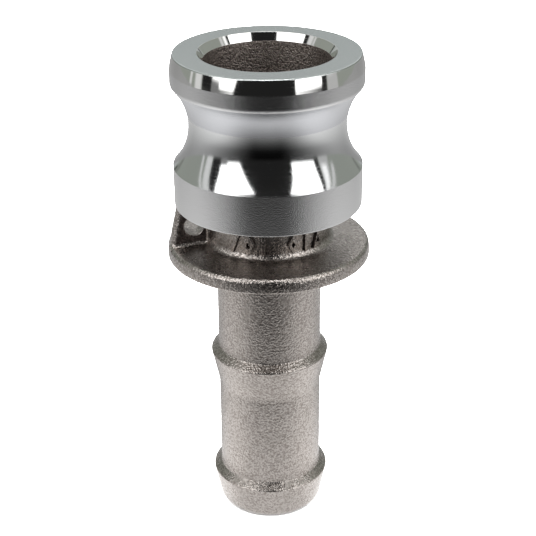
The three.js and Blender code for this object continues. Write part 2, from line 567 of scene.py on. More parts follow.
def turning_tree(name: str, materials: list[Material]) -> NodeTree:
    """Builds the tree that turns an outline about +Z and gives each stretch its finish.

    A grid has one row for each point of the outline and one column for each step around. Each
    of its points moves to its place on the turned surface, and then the seams are merged.

    Args:
        name: The tree's name.
        materials: The material of each finish number.

    Returns:
        The tree. Its inputs are Segments, Mould Size, Mould Depth and Seed.
    """
    mould = MouldTree(name, {"Segments": "NodeSocketInt"})
    tree, given = mould.tree, mould.given
    size = add_node(tree, "GeometryNodeAttributeDomainSize", {"Geometry": given["Geometry"]})
    count = size.outputs["Point Count"]
    rows = add_node(tree, "ShaderNodeMath", {0: count, 1: 1.0}, operation="ADD").outputs[0]
    columns = add_node(
        tree, "ShaderNodeMath", {0: given["Segments"], 1: 1.0}, operation="ADD"
    ).outputs[0]
    grid = add_node(
        tree,
        "GeometryNodeMeshGrid",
        {"Size X": 1.0, "Size Y": 1.0, "Vertices X": rows, "Vertices Y": columns},
    ).outputs["Mesh"]
    share = add_node(
        tree, "ShaderNodeVectorMath", {0: mould.position, 1: (0.5, 0.5, 0.0)}, operation="ADD"
    ).outputs[0]
    split = add_node(tree, "ShaderNodeSeparateXYZ", {0: share}).outputs
    row = add_node(tree, "ShaderNodeMath", {0: split["X"], 1: count}, operation="MULTIPLY").outputs[0]
    nearest = add_node(tree, "ShaderNodeMath", {0: row}, operation="ROUND").outputs[0]
    place = add_node(tree, "ShaderNodeMath", {0: nearest, 1: count}, operation="MODULO").outputs[0]
    # A face's centre is half a row past the point whose stretch it covers.
    stretch = add_node(tree, "ShaderNodeMath", {0: row}, operation="FLOOR").outputs[0]
    marked = grid
    for attribute, kind, domain, index in (
        ("along", "FLOAT", "POINT", place),
        ("finish", "INT", "FACE", stretch),
    ):
        carried = add_node(
            tree, "GeometryNodeInputNamedAttribute", {"Name": attribute}, data_type=kind
        ).outputs["Attribute"]
        value = add_node(
            tree,
            "GeometryNodeSampleIndex",
            {"Geometry": given["Geometry"], "Value": carried, "Index": index},
            data_type=kind,
        ).outputs["Value"]
        marked = add_node(
            tree,
            "GeometryNodeStoreNamedAttribute",
            {"Geometry": marked, "Name": attribute, "Value": value},
            data_type=kind,
            domain=domain,
        ).outputs["Geometry"]
    spot = add_node(
        tree,
        "GeometryNodeSampleIndex",
        {"Geometry": given["Geometry"], "Value": mould.position, "Index": place},
        data_type="FLOAT_VECTOR",
    ).outputs["Value"]
    angle = add_node(
        tree, "ShaderNodeMath", {0: split["Y"], 1: 2 * math.pi}, operation="MULTIPLY"
    ).outputs[0]
    target = add_node(
        tree,
        "ShaderNodeVectorRotate",
        {"Vector": spot, "Angle": angle},
        rotation_type="Z_AXIS",
    ).outputs["Vector"]
    turned = add_node(
        tree, "GeometryNodeSetPosition", {"Geometry": marked, "Position": target}
    ).outputs["Geometry"]
    merged = add_node(
        tree, "GeometryNodeMergeByDistance", {"Geometry": turned, "Distance": MERGE}
    ).outputs["Geometry"]
    mould.finish(merged, materials)
    return tree


def baked(source: Object, name: str, tree: NodeTree, inputs: dict[str, float]) -> Object:
    """Runs a Geometry Nodes tree on an object and keeps the result as a plain mesh.

    Args:
        source: The object, which is removed.
        name: The new object's name.
        tree: The tree.
        inputs: The tree's inputs by name.

    Returns:
        A new object at the origin with no modifier.
    """
    modifier = source.modifiers.new("tree", "NODES")
    modifier.node_group = tree
    for item in tree.interface.items_tree:
        if item.in_out == "INPUT" and item.name in inputs:
            modifier[item.identifier] = inputs[item.name]
    shape = source.evaluated_get(bpy.context.evaluated_depsgraph_get())
    mesh = bpy.data.meshes.new_from_object(shape)
    mesh.name = name
    bpy.data.objects.remove(source)
    piece = bpy.data.objects.new(name, mesh)
    bpy.context.scene.collection.objects.link(piece)
    return piece


@dataclass
class Bench:
    """Holds the materials, closes each mesh up and hands it over to the frame."""

    crease: float = 35.0  # degrees past which an edge stays sharp
    mould_size: float = 3.4  # millimetres between the swells that the mould leaves
    mould_depth: float = 0.09  # millimetres
    mould_seed: float = 4.0
    materials: dict[Finish, Material] = field(default_factory=dict)

    def __post_init__(self) -> None:
        """Builds every finish once."""
        self.materials = {finish: FINISHES[finish].make() for finish in Finish}

    def mould(self, share: float) -> dict[str, float]:
        """Returns the inputs for the mould's unevenness, at a share of its usual depth."""
        return {
            "Mould Size": self.mould_size * MM,
            "Mould Depth": self.mould_depth * share * MM,
            "Seed": self.mould_seed,
        }

    def hand_over(self, piece: Object, slot: str, node: str) -> None:
        """Merges doubles, turns the faces outwards, and ties the piece to the frame.

        Args:
            piece: The piece as made.
            slot: Not used.
            node: The CAD node that it stands for.
        """
        work = bmesh.new()
        work.from_mesh(piece.data)
        bmesh.ops.remove_doubles(work, verts=work.verts, dist=MERGE)
        bmesh.ops.recalc_face_normals(work, faces=work.faces)
        work.to_mesh(piece.data)
        triangles = sum(len(face.verts) - 2 for face in work.faces)
        open_edges = sum(not edge.is_manifold for edge in work.edges)
        work.free()
        piece.data.shade_smooth()
        piece.data.set_sharp_from_angle(angle=math.radians(self.crease))
        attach(piece, "root")
        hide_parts(node)
        log.info("%s: %d triangles, %d open edges, for %s", piece.name, triangles, open_edges, node)


@dataclass
class TurnedPiece:
    """A piece of the casting with a turned outline."""

    bench: Bench
    segments: int = 320
    mould_share: float = 1.0

    def turn(self, name: str, slot: str, node: str, corners: list[Corner]) -> None:
        """Turns an outline into a finished piece.

        Args:
            name: The piece's name.
            slot: The record's material slot.
            node: The CAD node that the piece stands for.
            corners: The outline's corners in millimetres.
        """
        source, used = outline_mesh(name + "_outline", Outline(corners))
        tree = turning_tree(name + "_turning", [self.bench.materials[finish] for finish in used])
        inputs = {"Segments": self.segments, **self.bench.mould(self.mould_share)}
        self.bench.hand_over(baked(source, name, tree, inputs), slot, node)


@dataclass
class CamGrooveHead(TurnedPiece):
    """The turned head: a chamfered rim, the cam groove, and the guide ring below it."""

    mould_share: float = 0.0
    face_radius: float = 15.58
    rim_radius: float = 16.15
    lead_in: float = 2.45
    lead_in_swell: float = 0.045  # how far the taper's middle stands out
    lead_in_curve: float = 22.0  # radius of that swell
    lead_in_edge: float = 0.1
    rim_round: float = 1.0
    groove_radius: float = 13.3
    groove_depth: float = 12.2
    groove_arc: float = 10.4
    groove_steps: int = 60
    flank_angle: float = math.radians(10)  # around the groove's arc, above its waist
    ring_radius: float = 16.05
    edge_round: float = 0.25
    bore_radius: float = 10.6
    bore_depth: float = 19.0
    mouth_radius: float = 11.55
    mouth_chamfer: float = 1.35
    mouth_edge: float = 0.08
    bore_foot_round: float = 0.8
    throat_radius: float = THROAT_RADIUS

    def groove(self, waist_z: float) -> list[Corner]:
        """Returns the cam groove's corners from the guide ring up to the rim."""
        centre = self.groove_radius + self.groove_arc
        low = -math.acos((centre - self.ring_radius) / self.groove_arc)
        high = math.acos((centre - self.rim_radius) / self.groove_arc)
        last = high - self.rim_round / self.groove_arc
        angles = [low + (last - low) * k / self.groove_steps for k in range(self.groove_steps + 1)]
        corners = [
            Corner(
                centre - self.groove_arc * math.cos(angle),
                waist_z + self.groove_arc * math.sin(angle),
                finish=Finish.FLANK if angle > self.flank_angle else Finish.GROOVE,
            )
            for angle in angles
        ]
        rim_z = waist_z + self.groove_arc * math.sin(high)
        return corners + [Corner(self.rim_radius, rim_z, self.rim_round, Finish.SATIN)]

    def build(self) -> None:
        """Builds the head."""
        low, top = span("cam_groove_head")
        corners = [
            Corner(self.throat_radius, low, finish=Finish.SATIN),
            Corner(self.ring_radius, low, self.edge_round, Finish.SATIN),
            *self.groove(top - self.groove_depth),
            Corner(self.rim_radius, top - self.lead_in, self.lead_in_edge, Finish.BRIGHT),
            Corner(
                (self.rim_radius + self.face_radius) / 2 + self.lead_in_swell,
                top - self.lead_in / 2,
                self.lead_in_curve,
                Finish.BRIGHT,
            ),
            Corner(self.face_radius, top, self.edge_round, Finish.FACE),
            Corner(self.mouth_radius, top, self.mouth_edge, Finish.BRIGHT),
            Corner(self.bore_radius, top - self.mouth_chamfer, self.mouth_edge, Finish.CORE),
            Corner(self.bore_radius, top - self.bore_depth, self.bore_foot_round, Finish.CORE),
        ]
        self.turn("turned_head", "turned_steel", "cam_groove_head", corners)


@dataclass
class CastNeck(TurnedPiece):
    """The cast neck between the collar and the head, where the bore widens."""

    radius: float = NECK_RADIUS
    bore_radius: float = BORE_RADIUS
    throat_radius: float = THROAT_RADIUS
    throat_drop: float = 3.0

    def build(self) -> None:
        """Builds the neck."""
        low, top = span("cast_neck")
        corners = [
            Corner(self.bore_radius, low),
            Corner(self.radius, low),
            Corner(self.radius, top),
            Corner(self.throat_radius, top, finish=Finish.CORE),
            Corner(self.bore_radius, top - self.throat_drop, finish=Finish.CORE),
        ]
        self.turn("neck_skin", "cast_steel", "cast_neck", corners)


@dataclass
class HoseStopCollar(TurnedPiece):
    """The collar that a hose butts against."""

    radius: float = COLLAR_RADIUS
    rim_thickness: float = COLLAR_THICKNESS
    crown: float = 0.6
    top_round: float = COLLAR_TOP_ROUND
    bottom_round: float = 0.35
    upright: float = 1.0  # height of the rim's wall that stands straight
    draft: float = 0.16  # how far the rest of the wall leans in
    draft_blend: float = 2.0
    neck_radius: float = NECK_RADIUS
    neck_fillet: float = 1.2
    shank_radius: float = SHANK_RADIUS
    shank_fillet: float = SHANK_FILLET
    bore_radius: float = BORE_RADIUS
    segments: int = 480

    def build(self) -> None:
        """Builds the collar."""
        low, high = span("hose_stop_collar")
        underside = low + self.shank_fillet
        rim_top = underside + self.rim_thickness
        radius = self.radius - self.bench.mould_depth / 2
        corners = [
            Corner(self.bore_radius, low),
            Corner(self.shank_radius, low),
            Corner(self.shank_radius, underside, self.shank_fillet),
            Corner(radius, underside, self.bottom_round),
            Corner(radius, underside + self.upright, self.draft_blend),
            Corner(radius - self.draft, rim_top, self.top_round),
            Corner(self.neck_radius, rim_top + self.crown, self.neck_fillet),
            Corner(self.neck_radius, high),
            Corner(self.bore_radius, high, finish=Finish.CORE),
        ]
        self.turn("collar_skin", "cast_steel", "hose_stop_collar", corners)


@dataclass
class HoseShank(TurnedPiece):
    """The barbed shank that a hose is pushed over."""

    radius: float = SHANK_RADIUS
    bore_radius: float = BORE_RADIUS
    bore_chamfer: float = 0.35
    nose_radius: float = 9.15
    nose_round: float = 1.6
    crest_radius: float = 10.5
    crest_round: float = 0.35
    steep_length: float = 1.1
    taper_length: float = 6.2
    taper_blend: float = 6.0
    foot_blend: float = 0.3  # the mould's fillet where a steep face meets the tube
    crest_heights: tuple[float, float] = (6.6, 31.3)

    def build(self) -> None:
        """Builds the shank."""
        low, top = span("hose_shank")
        low += self.bench.mould_depth / 2
        lower, upper = self.crest_heights
        corners = [
            Corner(self.bore_radius, low + self.bore_chamfer),
            Corner(self.bore_radius + self.bore_chamfer, low),
            Corner(self.nose_radius, low, self.nose_round),
            Corner(self.crest_radius, lower, self.crest_round),
            Corner(self.radius, lower + self.steep_length, self.foot_blend),
            Corner(self.radius, upper - self.taper_length, self.taper_blend),
            Corner(self.crest_radius, upper, self.crest_round),
            Corner(self.radius, upper + self.steep_length, self.foot_blend),
            Corner(self.radius, top),
            Corner(self.bore_radius, top, finish=Finish.CORE),
        ]
        self.turn("shank_skin", "cast_steel", "hose_shank", corners)


# ---------------------------------------------------------------------------- tether lug


@dataclass
class TetherLug:
    """The plate between collar and head, with a hole for a tether or a seal wire.

    Its mesh is a closed grid around the hole: out along one side, over the edge, back along the
    other side, and through the hole. The plate flares where it meets the neck and the collar.
    """

    bench: Bench
    half_thickness: float = 1.5
    root: float = 0.6  # how deep the plate runs into the neck and the collar
    neck_radius: float = NECK_RADIUS
    collar_radius: float = COLLAR_RADIUS
    collar_round: float = COLLAR_TOP_ROUND
    collar_slope: float = 0.085  # rise of the collar's top for each millimetre inwards
    rim_above_shank: float = SHANK_FILLET + COLLAR_THICKNESS
    foot_radius: float = 17.3
    top_radius: float = 15.8
    hole_radius: float = 1.65
    hole_from_neck: float = 2.55
    hole_above_rim: float = 3.65
    hole_edge: float = 0.15
    outer_edge: float = 1.1
    fillet: float = 0.6
    squareness: float = 0.97  # a face that points this squarely to a side is one of the flats
    spoke_spacing: float = 7 / 26
    fewest_spokes: int = 3  # along each side of the outline
    side_steps: int = 26
    edge_steps: int = 4  # over half the thickness

    def build(self) -> None:
        """Builds the lug."""
        self.top = span("tether_lug")[1]
        self.rim_top = span("hose_shank")[1] + self.rim_above_shank
        self.hole = Vector((self.neck_radius + self.hole_from_neck, self.rim_top + self.hole_above_rim))
        work = bmesh.new()
        rings = [self.ring(work, end) for end in self.spokes()]
        for ring, following in zip(rings, rings[1:] + rings[:1]):
            for i, vert in enumerate(ring):
                j = (i + 1) % len(ring)
                work.faces.new((vert, ring[j], following[j], following[i]))
        mesh = bpy.data.meshes.new("lug_grid")
        work.to_mesh(mesh)
        work.free()
        source = bpy.data.objects.new("lug_grid", mesh)
        bpy.context.scene.collection.objects.link(source)
        mould = MouldTree("lug_mould", {})
        normal = add_node(mould.tree, "GeometryNodeInputNormal").outputs[0]
        across = add_node(mould.tree, "ShaderNodeSeparateXYZ", {0: normal}).outputs["Y"]
        squarely = add_node(mould.tree, "ShaderNodeMath", {0: across}, operation="ABSOLUTE").outputs[0]
        flat = add_node(
            mould.tree,
            "FunctionNodeCompare",
            {0: squarely, 1: self.squareness},
            operation="GREATER_THAN",
        ).outputs["Result"]
        # The plate's flats, between the collar and the head, take the near-black cast steel.
        finishes = [self.bench.materials[finish] for finish in (Finish.CAST, Finish.SKIN)]
        mould.finish_by_test(mould.given["Geometry"], flat, finishes)
        piece = baked(source, "lug_plate", mould.tree, self.bench.mould(1.0))
        self.bench.hand_over(piece, "cast_steel", "tether_lug")

    def spokes(self) -> list[Vector]:
        """Returns the points around the plate's edge, evenly spaced along each side."""
        inside = self.neck_radius - self.root
        floor = self.rim_top - self.root
        ends = [
            Vector((inside, floor)),
            Vector((self.foot_radius, floor)),
            Vector((self.foot_radius, self.rim_top)),
            Vector((self.top_radius, self.top)),
            Vector((inside, self.top)),
        ]
        points = []
        for start, end in zip(ends, ends[1:] + ends[:1]):
            steps = max(self.fewest_spokes, round((end - start).length / self.spoke_spacing))
            points += [start.lerp(end, k / steps) for k in range(steps)]
        return points

    def ring(self, work: bmesh.types.BMesh, end: Vector) -> list[bmesh.types.BMVert]:
        """Adds the closed ring of points on one spoke.

        Args:
            work: The mesh that takes the points.
            end: The spoke's end on the plate's edge.

        Returns:
            The points: out on one side, over the edge, in on the other side, through the hole.
        """
        out = (end - self.hole).normalized()
        start = self.hole + out * self.hole_radius
        turns = [math.pi * k / self.side_steps for k in range(self.side_steps + 1)]
        places = [start.lerp(end, (1 - math.cos(turn)) / 2) for turn in turns]
        halves = [self.half(place) for place in places]
        inner = [k / self.edge_steps for k in range(1 - self.edge_steps, self.edge_steps)]
        near = [(place, half) for place, half in zip(places, halves)]
        edge = [(end, -halves[-1] * k) for k in inner]
        far = [(place, -half) for place, half in zip(reversed(places), reversed(halves))]
        wall = [(start, halves[0] * k) for k in inner]
        ring = near + edge + far + wall
        return [work.verts.new((-p.x * MM, y * MM, p.y * MM)) for p, y in ring]

    def half(self, place: Vector) -> float:
        """Returns half the plate's thickness at a place of (distance from the axis, height)."""
        low = Vector((self.foot_radius, self.rim_top))
        along = (Vector((self.top_radius, self.top)) - low).normalized()
        from_edge = abs((place - low).cross(along)) if place.y > self.rim_top else math.inf
        from_hole = (place - self.hole).length - self.hole_radius
        half = self.half_thickness
        half -= self.rounding(from_edge, self.outer_edge)
        half -= self.rounding(from_hole, self.hole_edge)
        half += self.rounding(place.x - self.neck_radius, self.fillet)
        half += self.rounding(place.y - self.collar_top(place.x), self.fillet)
        return half

    def collar_top(self, radius: float) -> float:
        """Returns how high the collar's top stands at a radius."""
        flat = self.collar_radius - self.collar_round
        past = max(0.0, min(radius - flat, self.collar_round))
        drop = self.collar_round - math.sqrt(self.collar_round**2 - past**2)
        return self.rim_top + self.collar_slope * max(0.0, flat - radius) - drop

    @staticmethod
    def rounding(distance: float, radius: float) -> float:
        """Returns how far a quarter round stands off a flat at a distance from where it ends."""
        inwards = min(max(radius - distance, 0.0), radius)
        return radius - math.sqrt(radius**2 - inwards**2)


# ---------------------------------------------------------------------------- foundry marks


@dataclass
class FoundryMarks:
    """Raised marks around the front of the neck: plain shapes with soft edges, no lettering."""

    bench: Bench
    height: float = 3.3
    width: float = 1.9
    stroke: float = 0.66
    proud: float = 0.5
    root: float = 0.5  # how deep each mark is rooted in the neck
    edge: float = 0.1
    foot_gap: float = -0.3
    edge_steps: int = 2
    ring_steps: int = 28
    wedge_hole: float = 0.4  # share of the wedge's size
    wall_lean: float = 0.88  # a face that leans more than this off the neck is a wall
    first_bearing: float = 230.0
    pitch: float = 13.2
    neck_radius: float = NECK_RADIUS

    def shapes(self) -> list[list[list[tuple[float, float]]]]:
        """Returns the closed lines of each mark in order. An empty place has none."""
        x = self.width / 2
        y = self.height / 2
        half = self.stroke / 2
        inner = 1 - self.stroke / x
        turns = [2 * math.pi * k / self.ring_steps for k in range(self.ring_steps)]
        slash = [[(-x, -y), (self.stroke - x, -y), (x, y), (x - self.stroke, y)]]
        bar = [[(-half, -y), (half, -y), (half, y), (-half, y)]]
        diamond = [[(0, -y * k), (x * k, 0), (0, y * k), (-x * k, 0)] for k in (1, inner)]
        wedge = [[(-x * k, -y * k), (x * k, -y * k), (0, y * k)] for k in (1, self.wedge_hole)]
        ring = [[(x * k * math.cos(a), y * k * math.sin(a)) for a in turns] for k in (1, inner)]
        return [slash, ring, bar, [], diamond, bar, wedge]

    def flat_marks(self) -> Object:
        """Returns the marks side by side on a flat strip, standing up along +Z."""
        curve = bpy.data.curves.new("flat_marks", "CURVE")
        curve.dimensions = "2D"
        curve.fill_mode = "BOTH"
        curve.extrude = (self.proud + self.root) / 2 * MM - self.edge * MM
        curve.bevel_depth = self.edge * MM
        curve.bevel_resolution = self.edge_steps
        curve.offset = -self.edge * MM
        step = self.neck_radius * math.radians(self.pitch)
        for place, lines in enumerate(self.shapes()):
            for line in lines:
                spline = curve.splines.new("POLY")
                spline.points.add(len(line) - 1)
                spline.use_cyclic_u = True
                for point, (px, py) in zip(spline.points, line):
                    point.co = ((px + place * step) * MM, py * MM, 0.0, 1.0)
        drawn = bpy.data.objects.new("flat_marks", curve)
        mesh = bpy.data.meshes.new_from_object(drawn)
        bpy.data.objects.remove(drawn)
        strip = bpy.data.objects.new("mark_strip", mesh)
        bpy.context.scene.collection.objects.link(strip)
        return strip

    def bending_tree(self) -> NodeTree:
        """Builds the tree that bends the strip around the neck.

        Returns:
            The tree. Its inputs are Neck Radius, First Bearing, Middle Height and Stand Off,
            and the mould's.
        """
        sizes = ("Neck Radius", "First Bearing", "Middle Height", "Stand Off")
        mould = MouldTree("mark_bending", {size: "NodeSocketFloat" for size in sizes})
        tree, given = mould.tree, mould.given
        split = add_node(tree, "ShaderNodeSeparateXYZ", {0: mould.position}).outputs
        swing = add_node(
            tree, "ShaderNodeMath", {0: split["X"], 1: given["Neck Radius"]}, operation="DIVIDE"
        ).outputs[0]
        bearing = add_node(
            tree, "ShaderNodeMath", {0: swing, 1: given["First Bearing"]}, operation="ADD"
        ).outputs[0]
        middle = add_node(
            tree, "ShaderNodeMath", {0: given["Neck Radius"], 1: given["Stand Off"]}, operation="ADD"
        ).outputs[0]
        radius = add_node(tree, "ShaderNodeMath", {0: middle, 1: split["Z"]}, operation="ADD").outputs[0]
        height = add_node(
            tree, "ShaderNodeMath", {0: split["Y"], 1: given["Middle Height"]}, operation="ADD"
        ).outputs[0]
        flat = add_node(tree, "ShaderNodeCombineXYZ", {"X": radius, "Z": height}).outputs["Vector"]
        bent = add_node(
            tree, "ShaderNodeVectorRotate", {"Vector": flat, "Angle": bearing}, rotation_type="Z_AXIS"
        ).outputs["Vector"]
        placed = add_node(
            tree, "GeometryNodeSetPosition", {"Geometry": given["Geometry"], "Position": bent}
        ).outputs["Geometry"]
        outwards = add_node(
            tree, "ShaderNodeVectorMath", {0: mould.position, 1: LEVEL}, operation="MULTIPLY"
        ).outputs[0]
        straight_out = add_node(
            tree, "ShaderNodeVectorMath", {0: outwards}, operation="NORMALIZE"
        ).outputs[0]
        facing = add_node(
            tree,
            "ShaderNodeVectorMath",
            {0: add_node(tree, "GeometryNodeInputNormal").outputs[0], 1: straight_out},
            operation="DOT_PRODUCT",
        ).outputs["Value"]
        wall = add_node(
            tree, "FunctionNodeCompare", {0: facing, 1: self.wall_lean}, operation="LESS_THAN"
        ).outputs["Result"]
        # Painted shade: the marks' walls take the near-black cast steel, so they read darker than the
        # marks' tops.
        finishes = [self.bench.materials[finish] for finish in (Finish.CAST, Finish.SKIN)]
        mould.finish_by_test(placed, wall, finishes)
        return tree

    def build(self) -> None:
        """Builds the marks."""
        foot = span("cast_neck")[0] + self.foot_gap
        inputs = {
            "Neck Radius": self.neck_radius * MM,
            "First Bearing": math.radians(self.first_bearing),
            "Middle Height": (foot + self.height / 2) * MM,
            "Stand Off": (self.proud - self.root) / 2 * MM,
            **self.bench.mould(1.0),
        }
        piece = baked(self.flat_marks(), "neck_marks", self.bending_tree(), inputs)
        self.bench.hand_over(piece, "cast_steel", "cast_neck")


# ---------------------------------------------------------------------------- studio


class Side(Enum):
    """Which way round from the camera a card stands."""

    LEFT = "left"
    RIGHT = "right"
    BOTH = "both"


@dataclass(frozen=True)
class Card:
    """A lit or dark card of the studio, in degrees round from the camera and above the horizon.

    An upright edge is given by its place at the horizon, its lean for each degree up, and its
    bend for each degree up squared.
    """

    side: Side
    inner: tuple[float, float, float]
    outer: tuple[float, float, float]
    low: float
    high: float
    strength: float
    colour: str = "ffffff"
    edge: float = 2.0  # softness of the upright edges
    end: float = 4.0  # softness of the upper and lower ends


CARDS = [
    # The room's grey-green sides and cool back.
    Card(Side.BOTH, (66, 0, 0), (152, 0, 0), -30, 66, 0.40, "f8fff4", edge=4, end=8),
    Card(Side.BOTH, (148, 0, 0), (190, 0, 0), -30, 66, 0.57, "f4f9f8", edge=6, end=10),
    # Two tall windows either side of the camera, which leave the object's middle dark.
    Card(Side.LEFT, (40, -0.33, 0), (66.5, -0.06, 0.0087), 3, 55, 3.0, edge=4, end=5),
    Card(Side.LEFT, (56, 0, 0), (72, 0, 0), -6, 8, 0.25, edge=4, end=6),
    Card(Side.RIGHT, (31.5, 0.08, 0), (64, 0.1, 0.0075), 3, 55, 3.0, end=6),
    # Dark frames, and the lighter strips of wall past them.
    Card(Side.LEFT, (66.5, -0.06, 0.0087), (79.5, 0.1, 0.003), -4, 64, 0.02, end=10),
    Card(Side.LEFT, (80.5, 0.1, 0.002), (90, 0.1, 0.002), -8, 58, 0.9, edge=4, end=10),
    Card(Side.LEFT, (95.5, 0.0, 0.002), (99, 0.0, 0.002), -8, 58, 0.85, end=10),
    Card(Side.RIGHT, (64, 0.1, 0.0075), (71, 0.1, 0.007), -4, 64, 0.03, end=10),
    Card(Side.RIGHT, (71.5, 0.1, 0.007), (87, 0.05, 0.002), -8, 60, 0.62, edge=3, end=10),
    Card(Side.RIGHT, (74, 0.1, 0.005), (83, 0.1, 0.003), 9, 56, 1.5, edge=4, end=10),
    Card(Side.RIGHT, (91, 0.0, 0.002), (96, 0.0, 0.002), 8, 58, 0.85, edge=3, end=12),
    # A narrow gap between the wall and the backdrop.
    Card(Side.BOTH, (138, 0, 0), (142.5, 0, 0), -20, 10, 0.27, "f8fff4", edge=3, end=8),
    Card(Side.LEFT, (143.5, 0, 0), (146, 0, 0), 2, 24, 0.02, end=3),
    Card(Side.RIGHT, (149.5, 0, 0), (152, 0, 0), 2, 24, 0.02, end=3),
    # A pair of windows behind, for the far side.
    Card(Side.BOTH, (158, 0, 0), (172, 0, 0), 22, 60, 1.6, edge=4, end=6),
    # The soft box overhead.
    Card(Side.BOTH, (-10, 0, 0), (190, 0, 0), 76, 89, 7.5, end=3),
]


@dataclass(frozen=True)
class Fall:
    """Light that falls off with the distance from the axis, in millimetres."""

    gain: float
    start: float  # where the gain is reached
    length: float  # over which the light falls to about a third
    rest: float  # what is left far out


@dataclass(frozen=True)
class FloorGlow:
    """How bright the floor is in the steel's reflections.

    Towards the camera the floor is bright only close to the object, and at the sides it is bright
    further out. Reaches are millimetres from the axis, and edges are degrees round from the camera.
    """

    front: Fall = Fall(1.75, 18.0, 39.0, 0.003)
    front_limit: float = 1.15
    side: Fall = Fall(0.7, 60.0, 120.0, 0.38)
    abeam: float = 85.0  # where the sides are brightest
    abeam_gain: float = 0.22
    front_edge: float = 16.0  # the front's light starts to give way to the side's
    side_reaches: tuple[float, float] = (90.0, 300.0)
    side_edges: tuple[float, float] = (74.0, 115.0)  # only the side's is left, at those reaches
    shade: float = 0.5  # that the object throws behind itself
    shade_reaches: tuple[float, float] = (60.0, 100.0)
    shade_edges: tuple[float, float] = (115.0, 145.0)

    def strength(self, tree: NodeTree, reach: NodeSocket, turn: NodeSocket) -> NodeSocket:
        """Builds the brightness.

        Args:
            tree: The material's tree.
            reach: Metres from the axis.
            turn: Radians round from the camera, to either side.

        Returns:
            The emission's strength.
        """
        lights = []
        for fall in (self.front, self.side):
            fading = add_node(
                tree,
                "ShaderNodeMath",
                {0: reach, 1: -1 / (fall.length * MM), 2: fall.start / fall.length},
                operation="MULTIPLY_ADD",
            ).outputs[0]
            faded = add_node(tree, "ShaderNodeMath", {0: fading}, operation="EXPONENT").outputs[0]
            light = {0: faded, 1: fall.gain, 2: fall.rest}
            lights.append(add_node(tree, "ShaderNodeMath", light, operation="MULTIPLY_ADD").outputs[0])
        front = add_node(
            tree, "ShaderNodeMath", {0: lights[0], 1: self.front_limit}, operation="MINIMUM"
        ).outputs[0]
        off_beam = add_node(
            tree,
            "ShaderNodeMath",
            {0: turn, 1: 2.0, 2: -2 * math.radians(self.abeam)},
            operation="MULTIPLY_ADD",
        ).outputs[0]
        swell = add_node(tree, "ShaderNodeMath", {0: off_beam}, operation="COSINE").outputs[0]
        lift = add_node(tree, "ShaderNodeMath", {0: swell, 1: 0.0}, operation="MAXIMUM").outputs[0]
        gain = add_node(
            tree, "ShaderNodeMath", {0: lift, 1: self.abeam_gain, 2: 1.0}, operation="MULTIPLY_ADD"
        ).outputs[0]
        side = add_node(
            tree, "ShaderNodeMath", {0: lights[1], 1: gain}, operation="MULTIPLY"
        ).outputs[0]
        near_side, far_side = (reach_mm * MM for reach_mm in self.side_reaches)
        near_shade, far_shade = (reach_mm * MM for reach_mm in self.shade_reaches)
        front_edge, near_edge, far_edge, shade_start, shade_end = (
            math.radians(edge) for edge in (self.front_edge, *self.side_edges, *self.shade_edges)
        )
        ramps: dict[str, NodeSocket] = {}
        for name, *ends in (
            ("side edge", reach, near_side, far_side, near_edge, far_edge),
            ("aside", turn, front_edge, "side edge", 0.0, 1.0),
            ("behind", turn, shade_start, shade_end, 0.0, self.shade),
            ("shade", reach, near_shade, far_shade, "behind", 0.0),
        ):
            sockets = ("Value", "From Min", "From Max", "To Min", "To Max")
            inputs = {
                socket: ramps[end] if isinstance(end, str) else end
                for socket, end in zip(sockets, ends)
            }
            ramps[name] = add_node(
                tree, "ShaderNodeMapRange", inputs, interpolation_type="SMOOTHSTEP"
            ).outputs["Result"]
        unshaded = add_node(
            tree, "ShaderNodeMath", {0: 1.0, 1: ramps["shade"]}, operation="SUBTRACT"
        ).outputs[0]
        mixed = add_node(
            tree, "ShaderNodeMix", {0: ramps["aside"], 2: front, 3: side}, data_type="FLOAT"
        ).outputs[0]
        return add_node(
            tree, "ShaderNodeMath", {0: mixed, 1: unshaded}, operation="MULTIPLY"
        ).outputs[0]


